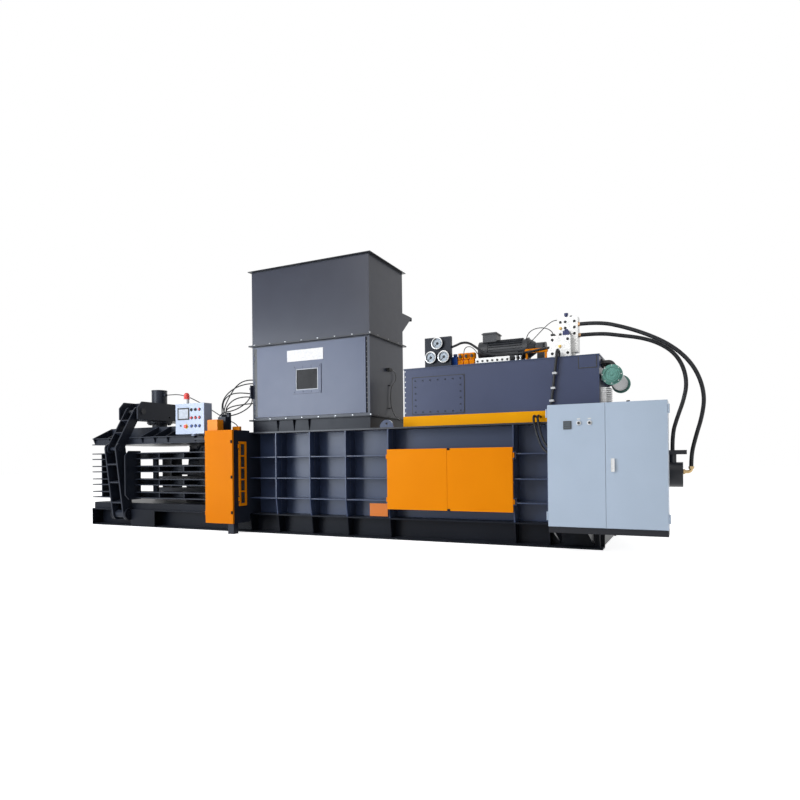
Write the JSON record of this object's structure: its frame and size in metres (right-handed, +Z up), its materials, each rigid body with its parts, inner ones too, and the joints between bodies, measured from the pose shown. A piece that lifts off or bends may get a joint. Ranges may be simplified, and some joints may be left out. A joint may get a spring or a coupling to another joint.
{
  "type": "baler",
  "caption": "Horizontal channel baler for recycling material, with feed hopper, tie unit, oil tank, squeeze exit and cabinet.",
  "frame": {"origin": "on the ground at the middle of the base frame's length and width", "axes": "+X along the press towards the main cylinder, -X towards the bale exit, -Y towards the operator, +Z up"},
  "size_m": [11.2108, 3.665, 4.662],
  "materials": {
    "graphite": "satin graphite grey machine paint with a blue cast",
    "orange": "semi-gloss amber orange machine paint",
    "black": "satin black machine paint",
    "grey": "light blue-grey powder coat",
    "bare_steel": "worn bare steel",
    "zinc": "zinc-plated steel",
    "chrome": "hard chrome",
    "machined": "machined and zinc-plated valve blocks",
    "cast": "painted casting",
    "cast_green": "green painted casting",
    "window": "scratched clear sheet",
    "black_plastic": "black plastic",
    "red_plastic": "red plastic",
    "hose": "black braided hose cover"
  },
  "bodies": {
    "press_body": {"base_frame": "black", "front_wall": "graphite", "rear_wall": "graphite", "chamber_roof": "graphite", "end_bulkhead": "graphite", "shear_blade": "bare_steel", "main_cylinder": "graphite", "body_bolts": "zinc", "tie_frame": "black", "tie_valve": "black", "hopper_collar": "graphite", "hopper_lower": "graphite", "hopper_upper": "graphite", "level_sensor": "black_plastic", "tank_bearers": "orange", "oil_tank": "graphite", "tank_lid": "graphite", "gauge_panel": "graphite", "motor": "cast", "pump": "cast", "pilot_valves": "orange", "valve_manifold": "machined", "oil_cooler": "cast_green", "cabinet_shell": "grey", "cabinet_gear": "zinc", "main_hose_outer": "hose", "main_hose_inner": "hose", "tie_hose_outer": "hose", "tie_hose_inner": "hose", "tension_hose": "hose", "sensor_cable": "hose"},
    "ram_unit": {"ram": "graphite", "ram_blade": "bare_steel", "piston_rod": "chrome"},
    "front_wall_swing": {"front_clamp_wall": "black"},
    "rear_wall_swing": {"rear_clamp_wall": "black"},
    "press_top": {"press_plate": "black"},
    "front_lever": {"front_arm": "black"},
    "rear_lever": {"rear_arm": "black"},
    "front_toggle": {"front_link": "black"},
    "rear_toggle": {"rear_link": "black"},
    "yoke_unit": {"yoke": "black", "yoke_pins": "bare_steel", "tension_cylinder": "black"},
    "tension_ram": {"tension_rod": "chrome"},
    "wire_cover": {"tie_cover": "orange"},
    "wire_guard": {"guard_door": "orange"},
    "twist_shaft": {"twister": "bare_steel"},
    "needle_unit": {"needle_carriage": "bare_steel"},
    "hopper_hatch": {"hopper_door": "graphite", "window_pane": "window"},
    "left_hatch": {"left_service_door": "orange"},
    "right_hatch": {"right_service_door": "orange"},
    "left_cabinet_leaf": {"cabinet_left_door": "grey"},
    "right_cabinet_leaf": {"cabinet_right_door": "grey"},
    "swing_handle": {"cabinet_handle": "zinc"},
    "control_box": {"operator_box": "grey", "beacon": "red_plastic"},
    "stop_head": {"stop_button": "red_plastic"},
    "pressure_knob": {"valve_knob": "machined"}
  },
  "joints": [
    {"name": "ram_travel", "type": "slide", "parent": "press_body", "child": "ram_unit", "axis": [-1, 0, 0], "range_m": [0, 2.39]},
    {"name": "tension_lift", "type": "slide", "parent": "press_body", "child": "yoke_unit", "axis": [0, 0, 1], "range_m": [0, 0.0423]},
    {"name": "tension_stroke", "type": "slide", "parent": "yoke_unit", "child": "tension_ram", "axis": [0, 0, -1], "range_m": [0, 0.1345]},
    {"name": "press_top_swing", "type": "hinge", "parent": "press_body", "child": "press_top", "pos_m": [-1.72, 0, 1.69], "axis": [0, -1, 0], "range_deg": [0, 2.31]},
    {"name": "front_lever_swing", "type": "hinge", "parent": "press_body", "child": "front_lever", "pos_m": [-4.085, -0.955, 0.237], "axis": [-1, 0, 0], "range_deg": [0, 3.01]},
    {"name": "rear_lever_swing", "type": "hinge", "parent": "press_body", "child": "rear_lever", "pos_m": [-4.085, 0.955, 0.237], "axis": [1, 0, 0], "range_deg": [0, 3.01]},
    {"name": "front_knee", "type": "hinge", "parent": "front_lever", "child": "front_toggle", "pos_m": [-4.085, -1.118, 1.51], "axis": [1, 0, 0], "range_deg": [0, 7.99]},
    {"name": "rear_knee", "type": "hinge", "parent": "rear_lever", "child": "rear_toggle", "pos_m": [-4.085, 1.118, 1.51], "axis": [-1, 0, 0], "range_deg": [0, 7.99]},
    {"name": "front_wall_hinge", "type": "hinge", "parent": "press_body", "child": "front_wall_swing", "pos_m": [-1.7, -0.705, 1], "axis": [0, 0, -1], "range_deg": [0, 0.973]},
    {"name": "rear_wall_hinge", "type": "hinge", "parent": "press_body", "child": "rear_wall_swing", "pos_m": [-1.7, 0.705, 1], "axis": [0, 0, 1], "range_deg": [0, 0.973]},
    {"name": "needle_travel", "type": "slide", "parent": "press_body", "child": "needle_unit", "axis": [0, -1, 0], "range_m": [0, 1.34]},
    {"name": "twister_turn", "type": "hinge", "parent": "press_body", "child": "twist_shaft", "pos_m": [-1.25, -1.06, 1], "axis": [0, 0, 1], "continuous": true},
    {"name": "wire_cover_hinge", "type": "hinge", "parent": "press_body", "child": "wire_cover", "pos_m": [-1.553, -1.377, 1], "axis": [0, 0, -1], "range_deg": [0, 110]},
    {"name": "wire_guard_hinge", "type": "hinge", "parent": "press_body", "child": "wire_guard", "pos_m": [-0.923, -1.258, 1], "axis": [0, 0, -1], "range_deg": [0, 90]},
    {"name": "hopper_hatch_hinge", "type": "hinge", "parent": "press_body", "child": "hopper_hatch", "pos_m": [-1.033, -0.659, 2.6], "axis": [0, 0, -1], "range_deg": [0, 100]},
    {"name": "left_hatch_hinge", "type": "hinge", "parent": "press_body", "child": "left_hatch", "pos_m": [1.757, -0.966, 0.9], "axis": [0, 0, -1], "range_deg": [0, 100]},
    {"name": "right_hatch_hinge", "type": "hinge", "parent": "press_body", "child": "right_hatch", "pos_m": [3.773, -0.966, 0.9], "axis": [0, 0, 1], "range_deg": [0, 100]},
    {"name": "left_cabinet_hinge", "type": "hinge", "parent": "press_body", "child": "left_cabinet_leaf", "pos_m": [4.328, -1.382, 1.1], "axis": [0, 0, -1], "range_deg": [0, 100]},
    {"name": "right_cabinet_hinge", "type": "hinge", "parent": "press_body", "child": "right_cabinet_leaf", "pos_m": [5.806, -1.382, 1.1], "axis": [0, 0, 1], "range_deg": [0, 100]},
    {"name": "handle_turn", "type": "hinge", "parent": "right_cabinet_leaf", "child": "swing_handle", "pos_m": [5.157, -1.395, 1.147], "axis": [0, 1, 0], "range_deg": [0, 90]},
    {"name": "control_box_swivel", "type": "hinge", "parent": "press_body", "child": "control_box", "pos_m": [-2.1245, -1.04, 1.8], "axis": [0, 0, 1], "range_deg": [-12, 12]},
    {"name": "stop_push", "type": "slide", "parent": "control_box", "child": "stop_head", "axis": [0, 1, 0], "range_m": [0, 0.006]},
    {"name": "pressure_turn", "type": "hinge", "parent": "press_body", "child": "pressure_knob", "pos_m": [4.4, -0.25, 3.34], "axis": [0, 0, 1], "range_deg": [0, 270]}
  ],
  "couplings": [
    {"joint": "tension_stroke", "follows": "tension_lift", "ratio": 3.1764},
    {"joint": "press_top_swing", "follows": "tension_lift", "rad_per_m": 0.94945},
    {"joint": "front_lever_swing", "follows": "tension_lift", "rad_per_m": 1.2384},
    {"joint": "rear_lever_swing", "follows": "tension_lift", "rad_per_m": 1.2384},
    {"joint": "front_knee", "follows": "tension_lift", "rad_per_m": 3.2913},
    {"joint": "rear_knee", "follows": "tension_lift", "rad_per_m": 3.2913},
    {"joint": "front_wall_hinge", "follows": "tension_lift", "rad_per_m": 0.39753},
    {"joint": "rear_wall_hinge", "follows": "tension_lift", "rad_per_m": 0.39753}
  ]
}
